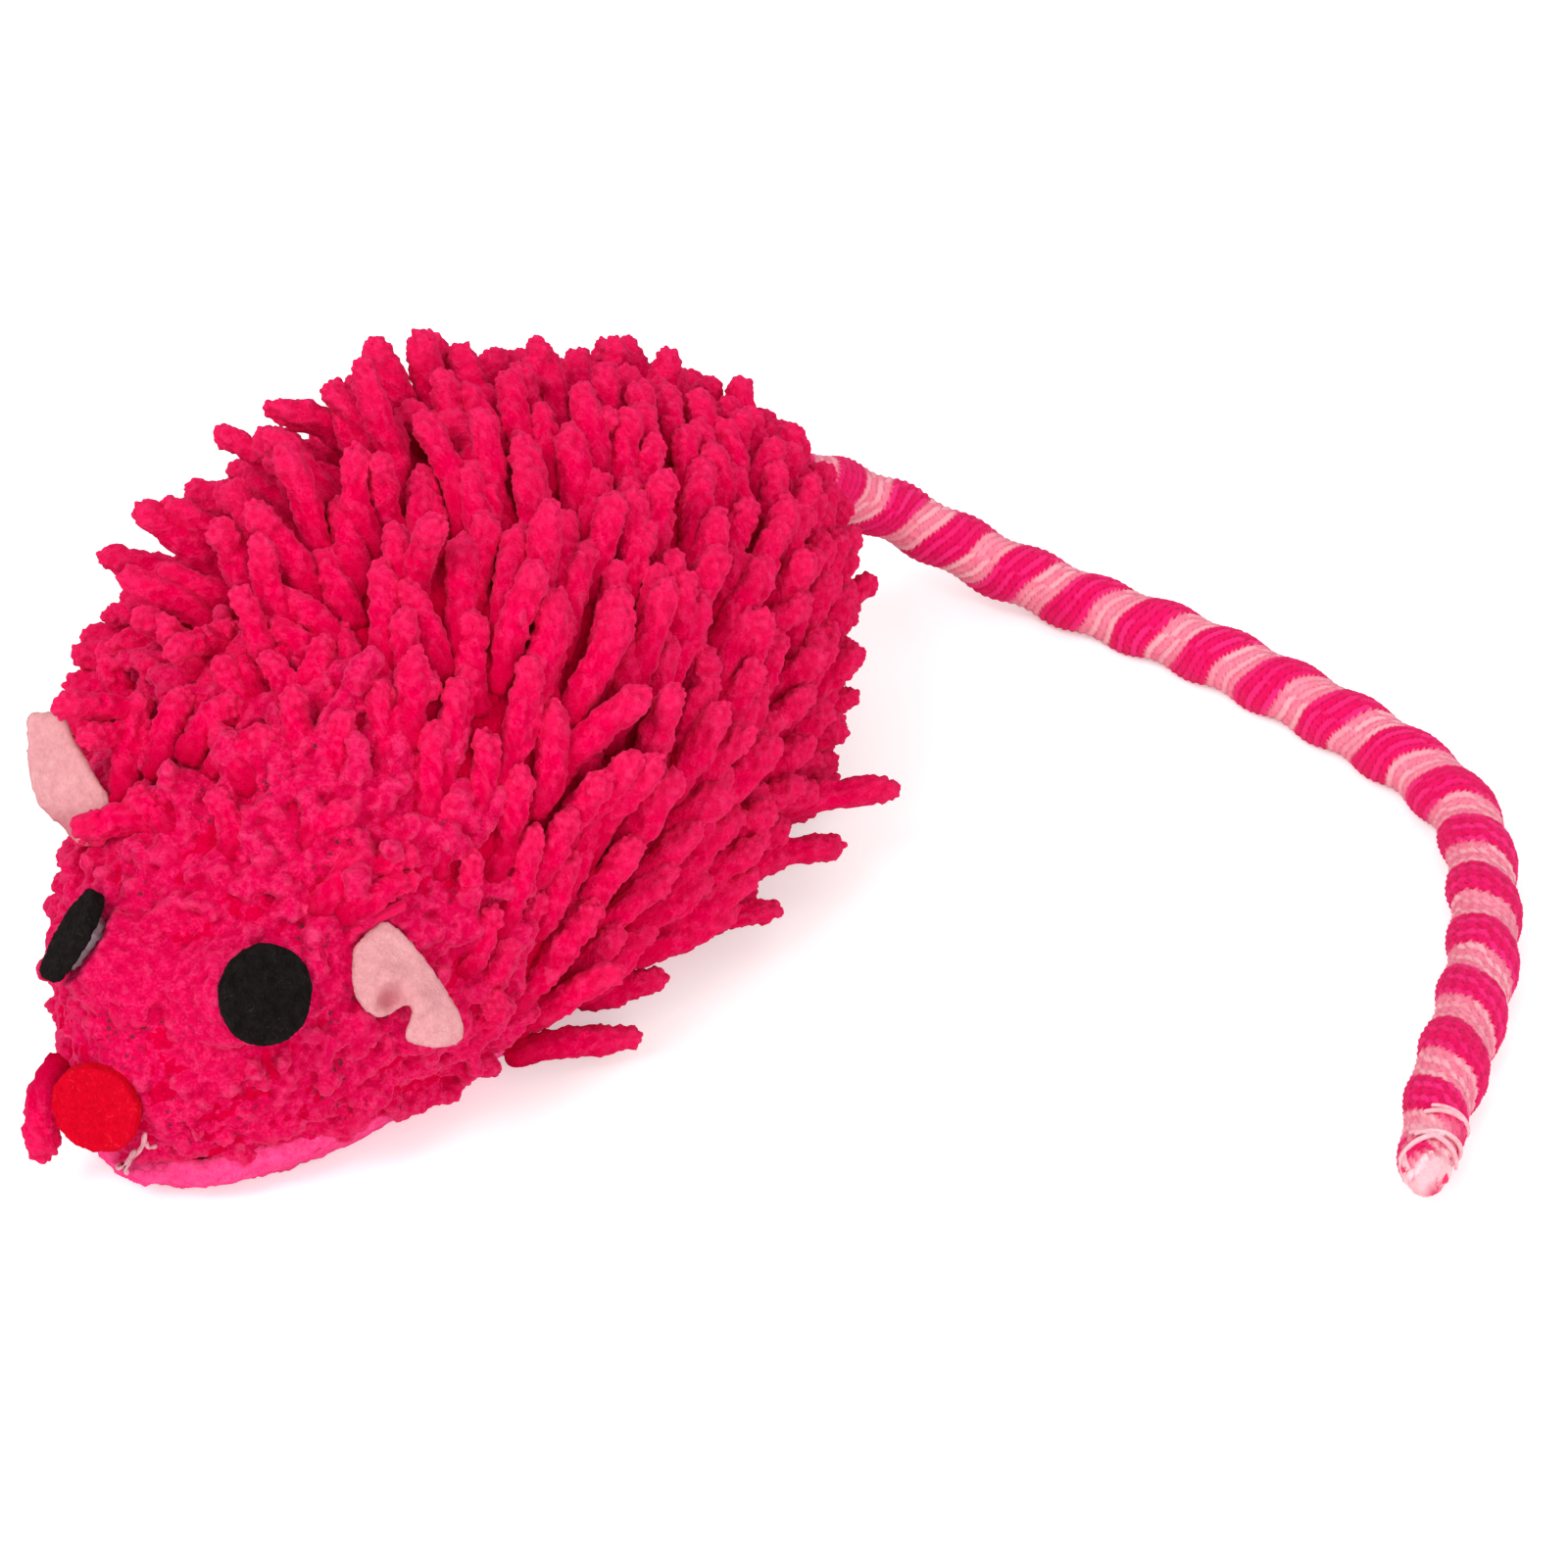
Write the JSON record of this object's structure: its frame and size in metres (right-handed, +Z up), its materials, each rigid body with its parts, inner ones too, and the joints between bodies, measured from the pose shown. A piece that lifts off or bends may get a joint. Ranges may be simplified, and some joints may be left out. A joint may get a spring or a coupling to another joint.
{
  "type": "catnip mouse",
  "caption": "Stuffed toy mouse for cats: teardrop body covered in chenille fingers, flat base, felt eyes, nose and floppy ears, and a knitted cord tail.",
  "frame": {"origin": "on the flat underside of the base panel, under the middle of the body's length", "axes": "+Z up, +Y from the nose to the tail, +X to the mouse's left"},
  "size_m": [0.1475, 0.1484, 0.0613],
  "materials": {
    "chenille": "deep pink chenille pile",
    "velour": "short pink velour",
    "thread": "sewing thread",
    "fibre_fill": "polyester fibre fill",
    "calico": "plain weave",
    "herb": "dried leaf",
    "black_felt": "felt",
    "red_felt": "felt",
    "pink_felt": "felt",
    "glue": "clear hot-melt glue",
    "tail_knit": "two-colour knit",
    "yarn": "loose yarn"
  },
  "bodies": {
    "mouse": {"cover_left": "chenille", "cover_right": "chenille", "base_panel": "velour", "back_seam": "thread", "base_seam": "thread", "stuffing": "fibre_fill", "catnip_pouch": "calico", "catnip": "herb", "eye_left": "black_felt", "eye_right": "black_felt", "eye_glue_left": "glue", "eye_glue_right": "glue", "nose": "red_felt", "nose_glue": "glue", "ear_stitch_left": "thread", "ear_stitch_right": "thread"},
    "tail_anchor": {"tail_tack": "thread"},
    "tail_upper": {"tail_root_sleeve": "tail_knit", "tail_root_core": "yarn"},
    "tail_lower": {"tail_tip_sleeve": "tail_knit", "tail_tip_core": "yarn", "tail_end_glue": "glue"},
    "left_ear": {"ear_left": "pink_felt"},
    "right_ear": {"ear_right": "pink_felt"}
  },
  "joints": [
    {"name": "tail_swing", "type": "hinge", "parent": "mouse", "child": "tail_anchor", "pos_m": [0, 0.0585, 0.022], "axis": [0, 0, 1], "range_deg": [-25, 35]},
    {"name": "tail_lift", "type": "hinge", "parent": "tail_anchor", "child": "tail_upper", "pos_m": [0, 0.0585, 0.022], "axis": [0.5299, -0.848, 0], "range_deg": [0, 35]},
    {"name": "tail_bend", "type": "hinge", "parent": "tail_upper", "child": "tail_lower", "pos_m": [0.08727, 0.0647, 0.0034], "axis": [0, 0, 1], "range_deg": [-30, 30]},
    {"name": "ear_left_flop", "type": "hinge", "parent": "mouse", "child": "left_ear", "pos_m": [0.01802, -0.03791, 0.02882], "axis": [-0.4311, -0.8869, -0.1659], "range_deg": [0, 75]},
    {"name": "ear_right_flop", "type": "hinge", "parent": "mouse", "child": "right_ear", "pos_m": [-0.01157, -0.04445, 0.03049], "axis": [0.8419, -0.258, 0.4739], "range_deg": [-20, 65], "stiffness_Nm_per_rad": 0.0005}
  ]
}
